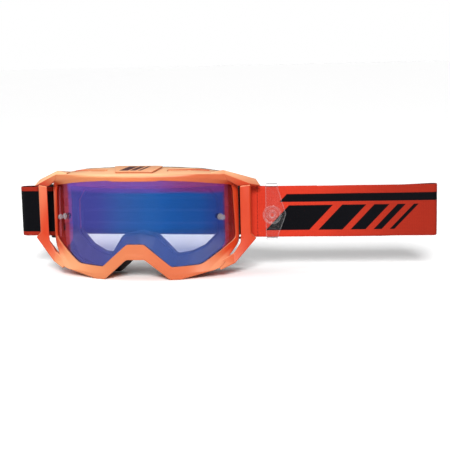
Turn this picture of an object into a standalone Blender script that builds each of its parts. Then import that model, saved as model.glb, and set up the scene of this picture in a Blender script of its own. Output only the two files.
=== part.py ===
"""Motocross goggles with integral outriggers, a cylindrical lens, a three-layer face foam
and a flat-folded elastic strap with a sliding adjuster.

The goggles stand on the two cheeks of the frame, look along -Y and have the strap folded flat
behind them and out to +X. All shapes are modelled about the goggles' own middle plane (x = 0,
lens front at y = 0, floor at z = 0) and hang from one empty, which moves them so that the row
origin is the bottom centre of the whole object's box.
"""

import math

import bmesh
import bpy
from mathutils import Matrix, Vector

MM = 0.001
WELD = 0.000004  # points nearer than this, in metres, become one

# Driving dimensions, in millimetres.
LENS_RADIUS = 109.0  # outer face of the cylindrical lens
LENS_THICKNESS = 2.0
GAP = 0.3  # clearance between neighbouring pieces
FLANGE = 2.4  # thickness of the flange that carries the foam
GROOVE_DEPTH = 3.6  # how far the lens groove reaches out from the visible edge
LIP_HEIGHT = 1.8  # how far the rim stands proud of the lens face

STRAP_BOTTOM = 30.5
STRAP_TOP = 75.5
STRAP_THICKNESS = 1.6
STRAP_LEFT = -122.0  # outermost points of the two folds
STRAP_RIGHT = 254.7
STRAP_FRONT_Y = 49.9  # middle of the front runs where they leave the anchors
STRAP_SWEEP = math.radians(4.1)  # how far the right run swings back from the X axis
STRAP_REAR_Y = 69.3  # middle of the back run behind the foam
STRAP_REAR_X = 90.0  # half length of the back run's straight middle
STRAP_TAIL_STEP = 1.9  # from the front run back to the end that is turned back behind it
STRAP_RETURN_STEP = 7.0  # from the front run back to the returning run, on the right
STRAP_TAIL_LENGTHS = (14.0, 60.0)  # left and right, from the anchor
STRAP_SAG = -1.2  # how much lower the back run hangs behind the foam
STRAP_LIFT = 0.6  # how much higher the right fold stands

ANCHOR_X = 91.2  # post that the strap is looped round, on each side
ANCHOR_Y = 52.8
ANCHOR_ARM_Y = 51.6  # the arms stand a little forward of the post
ANCHOR_RADIUS = 1.8
ANCHOR_BOTTOM = 28.6
ANCHOR_TOP = 77.4
ANCHOR_ARM = 1.5  # thickness of the two arms that hold the post
ANCHOR_PEG_X = 78.0  # how far the arms reach into the frame
ANCHOR_HALF_WIDTH = 1.6

POST_ARC = 75.5  # tear-off posts: arc length from the middle plane, and height
POST_HEIGHT = 52.2
POST_STEM_RADIUS = 1.4
WASHER_RADIUS = 3.4
WASHER_THICKNESS = 1.1

BADGE_THICKNESS = 1.2
BADGE_PEG_X = 9.0
BADGE_PEG_Y = 13.0
BADGE_PEG_RADIUS = 1.3

FOAM_LAYERS = (("foam_base", 3.5), ("foam_middle", 4.8), ("foam_face_fleece", 2.2))
FOAM_SETBACK = 0.6
FOAM_OUTSET = 0.2  # how far the foam stands out past the frame's rear edge
FOAM_OVERHANG = 0.6  # and in past the eye port
FOAM_TAPER = 0.08
FOAM_ROUND = 1.4

# Top vents: arc ranges of the shallow recess and of the two slots in it, on each side.
RECESS_SPAN = (27.0, 64.0)
RECESS_DEPTH = 0.9
SLOT_SPANS = (("inner", 30.0, 44.0), ("outer", 47.0, 61.0))
VENT_SETBACK = 11.5  # from the lens face back to the middle of the vent
RECESS_WIDTH = 6.0
SLOT_WIDTH = 2.6
SIDE_VENTS = (("upper", 58.5, 66.5), ("lower", 36.5, 43.5))
SIDE_VENT_Y = (42.0, 46.4)
SIDE_VENT_START = 69.3
SIDE_VENT_X = (76.5, 81.9)
BOTTOM_VENT = ((46.0, 20.0), (60.0, 30.0))  # opposite corners in plan

# The adjuster, in distances along the right run from the anchor and behind the run's middle.
ADJUSTER_ALONG = 20.2
ADJUSTER_LOOP_WIDTH = 10.4
ADJUSTER_FRONT = -2.9
ADJUSTER_PLATE = 1.7
ADJUSTER_REAR = 3.2
ADJUSTER_BAR = 1.6
ADJUSTER_WRAP = 1.5
ADJUSTER_APEX_ALONG = 33.0
ADJUSTER_APEX_Z = 50.6
BUTTON_ALONG = 20.7
BUTTON_RADIUS = 8.3
BUTTON_STEM_RADIUS = 2.2

GRIP_HEIGHTS = (40.0, 51.8, 63.6)
GRIP_SPAN = (-78.0, 78.0)
GRIP_WIDTH = 2.4
GRIP_THICKNESS = 0.6
GRIP_GAP = 0.1

# The frame is one closed loft. These are the corners of its half outline, from the top middle
# down the right side to the nose. For each corner: lens edge (arc, z), ridge of the front face,
# front edge, rear edge and eye port (x, y, z), the inner corner behind the lens (share of the
# way from rear edge to port, distance forward), how much of each straight is rounded off, and
# how far the face foam's outer edge is moved from the rear edge (x, z).
CORNERS = (
    ((0.0, 85.7), (0.0, -1.8, 89.6), (0.0, 0.0, 91.8),
     (0.0, 24.0, 95.9), (0.0, 26.0, 77.0), (0.16, 2.4), 0.0, (0.0, 0.0)),
    ((19.0, 85.7), (19.0, -0.7, 89.6), (19.0, 1.1, 91.8),
     (20.0, 24.8, 95.7), (16.0, 27.0, 77.0), (0.16, 2.4), 0.1, (0.0, 0.0)),
    ((23.0, 86.3), (23.0, -0.2, 89.4), (23.0, 1.6, 91.8),
     (24.0, 25.2, 95.5), (19.0, 27.6, 77.0), (0.16, 2.4), 0.1, (0.0, 0.0)),
    ((50.0, 84.4), (48.0, 6.6, 88.6), (47.0, 7.1, 91.4),
     (52.0, 31.0, 94.0), (40.0, 33.0, 76.5), (0.16, 2.4), 0.3, (0.0, 0.0)),
    ((87.0, 79.3), (77.5, 23.0, 84.0), (75.0, 19.0, 89.8),
     (77.0, 44.0, 88.4), (56.0, 44.0, 74.0), (0.3, 3.4), 0.1, (0.0, 0.0)),
    ((88.6, 74.0), (82.6, 34.4, 77.5), (84.0, 36.8, 79.0),
     (81.0, 55.0, 80.0), (63.0, 49.5, 64.0), (0.55, 6.5), 0.1, (0.0, 0.0)),
    ((91.2, 32.4), (83.2, 35.0, 29.6), (84.2, 37.0, 28.4),
     (81.0, 55.0, 27.0), (63.0, 49.5, 35.0), (0.55, 6.5), 0.1, (0.0, 0.0)),
    ((57.2, 12.3), (60.5, 11.4, 7.0), (71.0, 14.6, 8.6),
     (68.0, 44.0, 9.6), (52.0, 44.0, 24.0), (0.3, 3.4), 0.14, (0.0, 0.0)),
    ((40.0, 11.6), (39.5, 4.4, 4.6), (38.0, 4.8, 0.0),
     (38.0, 31.0, 2.6), (40.0, 38.0, 19.0), (0.16, 2.4), 0.12, (0.0, -0.4)),
    ((30.6, 11.3), (29.0, 1.6, 5.4), (29.0, 2.4, 0.0),
     (29.0, 28.0, 2.6), (29.0, 31.0, 18.0), (0.16, 2.4), 0.1, (-7.0, -1.4)),
    ((7.5, 31.4), (9.0, -1.8, 23.4), (8.0, -2.6, 18.0),
     (10.0, 14.0, 19.2), (15.0, 20.0, 37.0), (0.16, 2.4), 0.1, (-5.0, -3.6)),
    ((0.0, 31.4), (0.0, -2.0, 23.4), (0.0, -3.0, 18.0),
     (0.0, 12.0, 19.2), (0.0, 18.0, 40.5), (0.16, 2.4), 0.0, (0.0, -3.0)),
)
LENS_EDGE, RIDGE, FRONT_EDGE, REAR_EDGE, PORT, INNER, ROUNDED, FOAM_SHIFT = range(8)
TOP_CORNERS = 5  # the first rows run along the top
STRAIGHT_STEPS = (2, 1, 3, 4, 1, 6, 4, 2, 1, 3, 1)  # pieces each straight of the outline is cut into
ARC_STEPS = 2  # pieces of each rounded corner
SOLE_SHARE = 0.4  # how much of the frame's depth the flat under each cheek takes

# The outrigger's upper part is two convex blocks that run into each other: the frame's raised top
# corner, and the wing over the strap.
OUTRIGGER_BLOCKS = (
    ((63.0, 18.0, 88.2), (64.0, 15.4, 90.5), (64.0, 17.0, 91.6), (65.0, 34.0, 91.0), (65.0, 34.0, 88.0),
     (75.4, 19.6, 89.7), (74.6, 22.0, 93.0), (76.0, 38.0, 89.0), (76.0, 38.0, 86.0), (76.5, 22.0, 86.6),
     (80.0, 23.6, 86.8), (79.6, 28.0, 89.9), (80.0, 36.0, 86.6), (80.0, 26.0, 84.6)),
    ((76.5, 22.0, 84.8), (75.2, 19.4, 89.8), (74.8, 22.4, 92.8),
     (76.0, 38.0, 88.8), (76.0, 38.0, 86.0), (75.5, 26.0, 84.4),
     (85.6, 27.8, 78.6), (95.7, 30.4, 80.2), (98.8, 44.6, 82.9),
     (103.6, 41.6, 77.0), (94.0, 36.0, 76.8), (88.0, 32.0, 77.2)),
)
# Its lower part is lofted through these sections: the bar in front of the strap, from inside the
# wing down, the flare under the strap and the arm that runs into the cheek.
OUTRIGGER_BAR = (
    ((86.8, 28.5, 78.2), (95.4, 30.5, 79.0), (95.9, 32.8, 79.0),
     (95.2, 35.4, 79.0), (92.3, 35.4, 79.0), (88.0, 32.0, 78.2)),
    ((86.8, 28.5, 36.0), (95.4, 30.3, 36.6), (95.9, 32.8, 36.6),
     (95.2, 35.4, 36.4), (92.3, 35.4, 36.2), (88.0, 32.0, 36.0)),
    ((86.4, 28.4, 29.0), (100.0, 31.1, 32.2), (100.0, 34.0, 32.4),
     (97.2, 37.6, 32.0), (92.0, 36.4, 30.4), (87.6, 32.2, 29.2)),
    ((80.8, 26.4, 20.0), (82.2, 24.2, 11.4), (81.8, 28.0, 11.4),
     (80.8, 35.0, 13.2), (80.4, 34.0, 18.2), (80.8, 30.0, 19.6)),
    ((68.5, 18.2, 13.2), (70.9, 14.8, 7.0), (69.9, 21.0, 7.2),
     (68.6, 36.0, 9.6), (67.8, 34.0, 12.8), (68.0, 24.0, 13.4)),
)
OUTRIGGER_BEVEL = 0.7


# ------------------------------------------------------------------ scene and objects


def clear_scene():
    for obj in list(bpy.data.objects):
        bpy.data.objects.remove(obj)


def collection(name):
    made = bpy.data.collections.new(name)
    bpy.context.scene.collection.children.link(made)
    return made


def material(name, colour, roughness, metallic=0.0, alpha=1.0):
    made = bpy.data.materials.new(name)
    made.use_nodes = True
    shader = made.node_tree.nodes["Principled BSDF"]
    shader.inputs["Base Color"].default_value = (*colour, 1.0)
    shader.inputs["Roughness"].default_value = roughness
    shader.inputs["Metallic"].default_value = metallic
    shader.inputs["Alpha"].default_value = alpha
    made.diffuse_color = (*colour, alpha)
    return made


def add_object(name, mesh, mat, home):
    obj = bpy.data.objects.new(name, mesh)
    mesh.materials.clear()
    mesh.materials.append(mat)
    home.objects.link(obj)
    return obj


def mesh_from(name, points, faces):
    """A mesh from points in millimetres, with its faces turned outwards."""
    mesh = bpy.data.meshes.new(name)
    mesh.from_pydata([tuple(c * MM for c in p) for p in points], [], faces)
    shape = bmesh.new()
    shape.from_mesh(mesh)
    bmesh.ops.recalc_face_normals(shape, faces=shape.faces)
    shape.to_mesh(mesh)
    shape.free()
    return mesh


def baked(obj):
    """Replaces an object's mesh by what its modifiers make of it."""
    graph = bpy.context.evaluated_depsgraph_get()
    mesh = bpy.data.meshes.new_from_object(obj.evaluated_get(graph), depsgraph=graph)
    obj.modifiers.clear()
    obj.data = mesh
    return obj


def triangulate(mesh):
    """Splits each face along its shortest diagonal, so that facing surfaces split alike."""
    shape = bmesh.new()
    shape.from_mesh(mesh)
    bmesh.ops.triangulate(shape, faces=shape.faces, quad_method="SHORT_EDGE")
    shape.to_mesh(mesh)
    shape.free()


def mend(mesh):
    """Welds the slivers that a Boolean leaves, and closes any hole left by one."""
    shape = bmesh.new()
    shape.from_mesh(mesh)
    bmesh.ops.remove_doubles(shape, verts=shape.verts, dist=WELD)
    bmesh.ops.dissolve_degenerate(shape, edges=shape.edges, dist=WELD)
    bmesh.ops.holes_fill(shape, edges=shape.edges, sides=4)
    bmesh.ops.triangulate(shape, faces=shape.faces, quad_method="SHORT_EDGE")
    shape.to_mesh(mesh)
    shape.free()


def boolean(obj, other, operation):
    """Cuts or joins one mesh with another for good, and removes the other."""
    triangulate(obj.data)
    triangulate(other.data)
    modifier = obj.modifiers.new(operation.lower(), "BOOLEAN")
    modifier.operation = operation
    modifier.object = other
    modifier.solver = "EXACT"
    bpy.context.view_layer.update()
    baked(obj)
    mend(obj.data)
    bpy.data.objects.remove(other)
    return obj


# ------------------------------------------------------------------ curves and outlines


def on_lens(arc, out, z):
    """A point at this arc length round the lens, this far out from its face."""
    angle = arc / LENS_RADIUS
    radius = LENS_RADIUS + out
    return (radius * math.sin(angle), LENS_RADIUS - radius * math.cos(angle), z)


def mix(a, b, share):
    return tuple(p + (q - p) * share for p, q in zip(a, b))


def quadratic(a, b, c, share):
    return mix(mix(a, b, share), mix(b, c, share), share)


def rounded_half(points, cuts):
    """The half outline with its straights cut into steps and its corners rounded."""
    line = [points[0]]
    start = points[0]
    for i in range(1, len(points) - 1):
        before = mix(points[i], points[i - 1], cuts[i])
        after = mix(points[i], points[i + 1], cuts[i])
        steps = STRAIGHT_STEPS[i - 1]
        line += [mix(start, before, k / steps) for k in range(1, steps + 1)]
        line += [quadratic(before, points[i], after, k / ARC_STEPS) for k in range(1, ARC_STEPS + 1)]
        start = after
    steps = STRAIGHT_STEPS[-1]
    line += [mix(start, points[-1], k / steps) for k in range(1, steps + 1)]
    return line


def full_loop(half):
    """The half outline and its mirror image, as one closed loop of (x, y, z)."""
    return half + [(-p[0], *p[1:]) for p in reversed(half[1:-1])]


def outline_of(column):
    cuts = [row[ROUNDED] for row in CORNERS]
    return rounded_half([row[column] for row in CORNERS], cuts)


def offset_half(half, distance):
    """The half outline moved out by a distance in its own plane, with mitred corners."""
    moved = []
    for i, (a, z) in enumerate(half):
        before = half[i - 1] if i else (-half[1][0], half[1][1])
        after = half[i + 1] if i + 1 < len(half) else (-half[-2][0], half[-2][1])
        normals = []
        for p, q in ((before, (a, z)), ((a, z), after)):
            length = math.hypot(q[0] - p[0], q[1] - p[1])
            normals.append(((p[1] - q[1]) / length, (q[0] - p[0]) / length))
        bisector = (normals[0][0] + normals[1][0], normals[0][1] + normals[1][1])
        size = math.hypot(*bisector)
        unit = (bisector[0] / size, bisector[1] / size)
        reach = distance / (unit[0] * normals[0][0] + unit[1] * normals[0][1])
        moved.append((a + unit[0] * reach, z + unit[1] * reach))
    return moved


def lens_ring(distance, out):
    """A loop that follows the visible lens edge, moved sideways and out from the lens face."""
    half = offset_half(outline_of(LENS_EDGE), distance)
    return full_loop([on_lens(arc, out, z) for arc, z in half])


def loft(name, rings):
    """A closed tube-like mesh through closed rings; the last ring joins the first."""
    count = len(rings[0])
    points = [p for ring in rings for p in ring]
    faces = []
    for i in range(len(rings)):
        a, b = i * count, (i + 1) % len(rings) * count
        faces += [(a + j, a + (j + 1) % count, b + (j + 1) % count, b + j) for j in range(count)]
    mesh = mesh_from(name, points, faces)
    triangulate(mesh)
    return mesh


def capped_loft(name, sections):
    """A solid through open-ended sections, each a closed polygon; the two ends are filled."""
    count = len(sections[0])
    last = (len(sections) - 1) * count
    points = [p for section in sections for p in section]
    faces = [tuple(range(count)), tuple(range(last, last + count))]
    for i in range(len(sections) - 1):
        a, b = i * count, (i + 1) * count
        faces += [(a + j, a + (j + 1) % count, b + (j + 1) % count, b + j) for j in range(count)]
    return mesh_from(name, points, faces)


def prism(name, outline, low, high, axis):
    """A straight solid with this 2-D outline, from low to high along axis 0, 1 or 2."""
    sections = []
    for level in (low, high):
        sections.append([p[:axis] + (level,) + p[axis:] for p in outline])
    return capped_loft(name, sections)


def hull(name, points):
    """The convex solid round these points, in millimetres."""
    mesh = bpy.data.meshes.new(name)
    shape = bmesh.new()
    for p in points:
        shape.verts.new(tuple(c * MM for c in p))
    result = bmesh.ops.convex_hull(shape, input=shape.verts)
    inside = set(result["geom_interior"] + result["geom_unused"])
    bmesh.ops.delete(shape, geom=list(inside), context="VERTS")
    bmesh.ops.recalc_face_normals(shape, faces=shape.faces)
    shape.to_mesh(mesh)
    shape.free()
    return mesh


def block(low, high):
    """The eight corners of a box."""
    return [(x, y, z) for x in (low[0], high[0]) for y in (low[1], high[1]) for z in (low[2], high[2])]


def turned(name, profile, sides=20):
    """A solid of revolution about Z from (radius, height) pairs; it starts and ends on the axis."""
    points, faces = [(0.0, 0.0, profile[0][1])], []
    for radius, height in profile[1:-1]:
        points += [
            (radius * math.cos(k * math.tau / sides), radius * math.sin(k * math.tau / sides), height)
            for k in range(sides)
        ]
    points.append((0.0, 0.0, profile[-1][1]))
    last = len(points) - 1
    rings = len(profile) - 2
    for k in range(sides):
        n = (k + 1) % sides
        faces.append((0, 1 + n, 1 + k))
        faces.append((last, last - sides + k, last - sides + n))
        for r in range(rings - 1):
            a = 1 + r * sides
            faces.append((a + k, a + n, a + sides + n, a + sides + k))
    return mesh_from(name, points, faces)


def aim(obj, place, direction):
    """Puts an object's origin at a place with its Z axis along a direction."""
    turn = Vector(direction).to_track_quat("Z", "Y").to_matrix().to_4x4()
    obj.matrix_world = Matrix.Translation(Vector(place) * MM) @ turn
    return obj


# ------------------------------------------------------------------ the frame


def softened(rings, index, radius):
    """Replaces one ring by three that round its edge off, this far to each side."""
    before, corner, after = rings[index - 1], rings[index], rings[(index + 1) % len(rings)]
    arc = ([], [], [])
    for a, b, c in zip(before, corner, after):
        start = mix(b, a, min(radius / math.dist(a, b), 0.5))
        end = mix(b, c, min(radius / math.dist(b, c), 0.5))
        arc[0].append(start)
        arc[1].append(quadratic(start, b, end, 0.5))
        arc[2].append(end)
    return rings[:index] + list(arc) + rings[index + 1 :]


def frame_rings():
    """The frame's section points, each as a closed loop, in order round the section."""
    edge = outline_of(FRONT_EDGE)
    rear = outline_of(REAR_EDGE)
    port = outline_of(PORT)
    inner = outline_of(INNER)
    sole = []
    for e, r in zip(edge, rear):
        x, y, z = mix(e, r, SOLE_SHARE)
        sole.append((x, y, e[2] if e[2] < GAP else z))
    inner_corner = []
    port_root = []
    for r, p, (share, forward) in zip(rear, port, inner):
        x, y, z = mix(r, p, share)
        inner_corner.append((x, y - forward, z))
        x, y, z = mix(r, p, 0.9)
        port_root.append((x, y - FLANGE, z))
    port_lip = [(x, y - 2 * FLANGE, z) for x, y, z in port]
    rings = [
        lens_ring(0.0, LIP_HEIGHT),
        full_loop(outline_of(RIDGE)),
        full_loop(edge),
        full_loop(sole),
        full_loop(rear),
        full_loop(port),
        full_loop(port_lip),
        full_loop(port_root),
        full_loop(inner_corner),
        lens_ring(2.4, -6.5),
        lens_ring(0.4, -5.2),
        lens_ring(0.4, -LENS_THICKNESS - GAP),
        lens_ring(GROOVE_DEPTH, -LENS_THICKNESS - GAP),
        lens_ring(GROOVE_DEPTH, GAP),
        lens_ring(0.0, GAP),
    ]
    rings = softened(rings, 4, 1.2)
    rings = softened(rings, 2, 1.2)
    return softened(rings, 1, 0.8)


def mirrored(points, side):
    return [(side * x, y, z) for x, y, z in points]


def bevelled(obj, width, segments=2):
    modifier = obj.modifiers.new("bevel", "BEVEL")
    modifier.width = width * MM
    modifier.segments = segments
    modifier.limit_method = "ANGLE"
    modifier.angle_limit = math.radians(25)
    return baked(obj)


def along_top(column, x):
    """The point of one column of the top outline at this x, by straight lines between corners."""
    rows = [row[column] for row in CORNERS[:TOP_CORNERS]]
    for a, b in zip(rows, rows[1:]):
        if abs(x) <= b[0]:
            return mix(a, b, (abs(x) - a[0]) / (b[0] - a[0]))
    return rows[-1]


def top_height(x, y):
    """Height of the frame's top surface at (x, y)."""
    edge = along_top(FRONT_EDGE, x)
    rear = along_top(REAR_EDGE, x)
    return edge[2] + (rear[2] - edge[2]) * (y - edge[1]) / (rear[1] - edge[1])


def vent_strip(name, side, span, width, low, high):
    """A strip that follows the top vent, between two depths below the top surface."""
    sections = []
    steps = 5
    for k in range(steps + 1):
        arc = span[0] + (span[1] - span[0]) * k / steps
        x, lens_y, _ = on_lens(arc, 0.0, 0.0)
        front = lens_y + VENT_SETBACK - width / 2
        back = front + width
        section = [
            (x, front, top_height(x, front) - low),
            (x, back, top_height(x, back) - low),
            (x, back, top_height(x, back) - high),
            (x, front, top_height(x, front) - high),
        ]
        sections.append(mirrored(section, side))
    return capped_loft(name, sections)


def shrunk(low, high, by):
    return [c + by for c in low], [c - by for c in high]


def anchor_solid(side, mat, home, clearance):
    """The bracket's two arms; with a clearance it is what the frame needs cutting out for it."""
    half = ANCHOR_HALF_WIDTH + clearance
    arms = []
    for z in (ANCHOR_BOTTOM, ANCHOR_TOP - ANCHOR_ARM):
        low = (ANCHOR_PEG_X - clearance, ANCHOR_ARM_Y - half, z - clearance)
        high = (ANCHOR_X, ANCHOR_ARM_Y + half, z + ANCHOR_ARM + clearance)
        mesh = hull("arm", mirrored(block(low, high), side))
        arms.append(add_object("arm", mesh, mat, home))
    return arms


def make_frame(mat, home, cutters, cutter_mat):
    frame = add_object("frame", loft("frame", frame_rings()), mat, home)
    for side in (-1, 1):
        shapes = [hull("outrigger", mirrored(points, side)) for points in OUTRIGGER_BLOCKS]
        bar = [mirrored(section, side) for section in OUTRIGGER_BAR]
        shapes.append(capped_loft("outrigger", bar))
        for mesh in shapes:
            arm = add_object("outrigger", mesh, mat, cutters)
            boolean(frame, bevelled(arm, OUTRIGGER_BEVEL), "UNION")
    for side in (-1, 1):
        cuts = [vent_strip("cut", side, RECESS_SPAN, RECESS_WIDTH, RECESS_DEPTH, -6.0)]
        for _, start, end in SLOT_SPANS:
            cuts.append(vent_strip("cut", side, (start, end), SLOT_WIDTH, 9.0, -6.0))
        for _, low, high in SIDE_VENTS:
            box = block((SIDE_VENT_START, SIDE_VENT_Y[0], low), (ANCHOR_X, SIDE_VENT_Y[1], high))
            cuts.append(hull("cut", mirrored(box, side)))
        (x0, y0), (x1, y1) = BOTTOM_VENT
        cuts.append(hull("cut", mirrored(block((x0, y0, -2.0), (x1, y1, 14.0)), side)))
        for mesh in cuts:
            boolean(frame, add_object("cut", mesh, cutter_mat, cutters), "DIFFERENCE")
        for arm in anchor_solid(side, cutter_mat, cutters, GAP):
            boolean(frame, arm, "DIFFERENCE")
        radius = BADGE_PEG_RADIUS + GAP
        peg = turned("cut", [(0, -3.2), (radius, -3.2), (radius, 6), (0, 6)], 12)
        hole = add_object("cut", peg, cutter_mat, cutters)
        x = side * BADGE_PEG_X
        hole.matrix_world = Matrix.Translation(
            Vector((x, BADGE_PEG_Y, top_height(x, BADGE_PEG_Y))) * MM
        )
        boolean(frame, hole, "DIFFERENCE")
    return frame


def make_badge(mat, home, cutters):
    """The raised plate on the brow, wider at the back, on two pegs."""
    plate = ((-16.5, 3.6), (16.5, 3.6), (21.5, 20.5), (17.5, 22.0), (-17.5, 22.0), (-21.5, 20.5))
    points = []
    for x, y in plate:
        base = top_height(0.0, y) + GAP
        points += [(x, y, base), (x, y, base + BADGE_THICKNESS)]
    badge = add_object("brow_badge", hull("brow_badge", points), mat, home)
    bevelled(badge, 0.5)
    for x in (-BADGE_PEG_X, BADGE_PEG_X):
        profile = [(0, -2.8), (BADGE_PEG_RADIUS, -2.8), (BADGE_PEG_RADIUS, 1.0), (0, 1.0)]
        peg = add_object("peg", turned("peg", profile, 12), mat, cutters)
        peg.matrix_world = Matrix.Translation(
            Vector((x, BADGE_PEG_Y, top_height(x, BADGE_PEG_Y))) * MM
        )
        boolean(badge, peg, "UNION")
    return badge


# ------------------------------------------------------------------ lens and tear-off posts


def crossing(chain, arc):
    """Height of a chain of (arc, z) points at this arc length."""
    for a, b in zip(chain, chain[1:]):
        low, high = sorted((a[0], b[0]))
        if low <= arc <= high and high > low:
            return mix(a, b, (arc - a[0]) / (b[0] - a[0]))[1]
    return chain[-1][1]


def make_lens(mat, home, cutters):
    """One cylindrical panel whose edge sits in the frame's groove."""
    half = offset_half(outline_of(LENS_EDGE), GROOVE_DEPTH - GAP)
    widest = max(range(len(half)), key=lambda i: half[i][0])
    top, bottom = half[: widest + 1], half[widest:]
    arcs = sorted({round(a, 4) for a, _ in half if a > GAP})
    columns = [-a for a in reversed(arcs)] + [0.0] + arcs
    sections = []
    for arc in columns:
        high = crossing(top, abs(arc))
        low = crossing(bottom, abs(arc))
        section = []
        for out, z in ((0.0, low), (0.0, high), (-LENS_THICKNESS, high), (-LENS_THICKNESS, low)):
            section.append(on_lens(arc, out, z))
        sections.append(section)
    lens = add_object("lens", capped_loft("lens", sections), mat, home)
    for side in (-1, 1):
        radius = POST_STEM_RADIUS + GAP
        hole = turned("cut", [(0, -6), (radius, -6), (radius, 6), (0, 6)], 16)
        cutter = place_on_lens(add_object("cut", hole, mat, cutters), side)
        boolean(lens, cutter, "DIFFERENCE")
    return lens


def place_on_lens(obj, side):
    """Puts an object at a tear-off post, with its Z axis out along the lens normal."""
    arc = side * POST_ARC
    foot = Vector(on_lens(arc, 0.0, POST_HEIGHT))
    return aim(obj, foot, Vector(on_lens(arc, 1.0, POST_HEIGHT)) - foot)


def make_posts(post_mat, washer_mat, home):
    """Riveted tear-off posts: a collar and a bead in front, a washer and a head behind."""
    back = -LENS_THICKNESS - GAP
    head = back - WASHER_THICKNESS - GAP
    profile = [
        (0, head - 1.0), (2.2, head - 1.0), (2.5, head - 0.6), (2.5, head), (POST_STEM_RADIUS, head),
        (POST_STEM_RADIUS, GAP), (2.6, GAP), (2.8, 0.6), (2.6, 1.1), (1.2, 1.5), (1.1, 3.4),
        (1.9, 3.9), (2.3, 4.7), (2.3, 5.6), (1.7, 6.6), (0.9, 7.0), (0, 7.1),
    ]
    hole = POST_STEM_RADIUS + GAP
    washer = ((hole, back), (WASHER_RADIUS, back), (WASHER_RADIUS, back - WASHER_THICKNESS),
              (hole, back - WASHER_THICKNESS))
    for side, word in ((-1, "left"), (1, "right")):
        post = add_object(f"tear_off_post_{word}", turned("post", profile), post_mat, home)
        place_on_lens(post, side)
        rings = [circle(radius, height, 20) for radius, height in washer]
        name = f"tear_off_washer_{word}"
        place_on_lens(add_object(name, loft(name, rings), washer_mat, home), side)


def circle(radius, height, sides):
    return [
        (radius * math.cos(k * math.tau / sides), radius * math.sin(k * math.tau / sides), height)
        for k in range(sides)
    ]


# ------------------------------------------------------------------ foam


def grown(points, by):
    """A half loop of (x, y, z) moved outwards in x and z."""
    flat = offset_half([(x, z) for x, _, z in points], by)
    return [(x, y, z) for (x, z), (_, y, _) in zip(flat, points)]


def foam_ring(depth, inset):
    """Outer and inner loops of the face foam at a depth behind the flange."""
    by = inset + depth * FOAM_TAPER
    shifts = outline_of(FOAM_SHIFT)
    edge = [(x + dx, y, z + dz) for (x, y, z), (dx, dz) in zip(outline_of(REAR_EDGE), shifts)]
    outer = grown(edge, FOAM_OUTSET - by)
    inner = grown(outline_of(PORT), by - FOAM_OVERHANG)
    return [full_loop([(x, y + depth, z) for x, y, z in half]) for half in (outer, inner)]


def make_face_foam(mats, home):
    """Three layers behind the frame's rear flange, each following its curve."""
    depth = FOAM_SETBACK
    last = FOAM_LAYERS[-1][0]
    for (name, thickness), mat in zip(FOAM_LAYERS, mats):
        back = depth + thickness
        outer, inner = foam_ring(depth, 0.0)
        outer_back, inner_back = foam_ring(back, FOAM_ROUND if name == last else 0.0)
        rings = [outer, outer_back, inner_back, inner]
        if name == last:
            outer_side, inner_side = foam_ring(back - FOAM_ROUND, 0.0)
            rings = [outer, outer_side, outer_back, inner_back, inner_side, inner]
        add_object(name, loft(name, rings), mat, home)
        depth = back + GAP


def make_vent_filters(mat, home):
    for side, word in ((-1, "left"), (1, "right")):
        for place, start, end in SLOT_SPANS:
            name = f"top_vent_filter_{word}_{place}"
            span = (start + GAP, end - GAP)
            mesh = vent_strip(name, side, span, SLOT_WIDTH - 2 * GAP, 3.0, RECESS_DEPTH + 0.6)
            add_object(name, mesh, mat, home)
        for place, low, high in SIDE_VENTS:
            name = f"side_vent_filter_{word}_{place}"
            near = (SIDE_VENT_X[0], SIDE_VENT_Y[0], low)
            far = (SIDE_VENT_X[1], SIDE_VENT_Y[1], high)
            corners = shrunk(near, far, GAP)
            add_object(name, hull(name, mirrored(block(*corners), side)), mat, home)
        name = f"bottom_vent_filter_{word}"
        (x0, y0), (x1, y1) = BOTTOM_VENT
        corners = shrunk((x0, y0, 4.6), (x1, y1, 8.2), GAP)
        add_object(name, hull(name, mirrored(block(*corners), side)), mat, home)


# ------------------------------------------------------------------ strap


def arc_points(centre, radii, start, end, steps):
    """Points on an ellipse from one angle to another, in degrees, both ends included."""
    points = []
    for k in range(steps + 1):
        angle = math.radians(start + (end - start) * k / steps)
        points.append((centre[0] + radii[0] * math.cos(angle), centre[1] + radii[1] * math.sin(angle)))
    return points


def on_right_run(along, back):
    """Plan position at this distance along the right run from its anchor, and behind it."""
    cos, sin = math.cos(STRAP_SWEEP), math.sin(STRAP_SWEEP)
    return (ANCHOR_X + along * cos - back * sin, STRAP_FRONT_Y + along * sin + back * cos)


def with_height(points, height):
    return [(x, y, height) for x, y in points]


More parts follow.
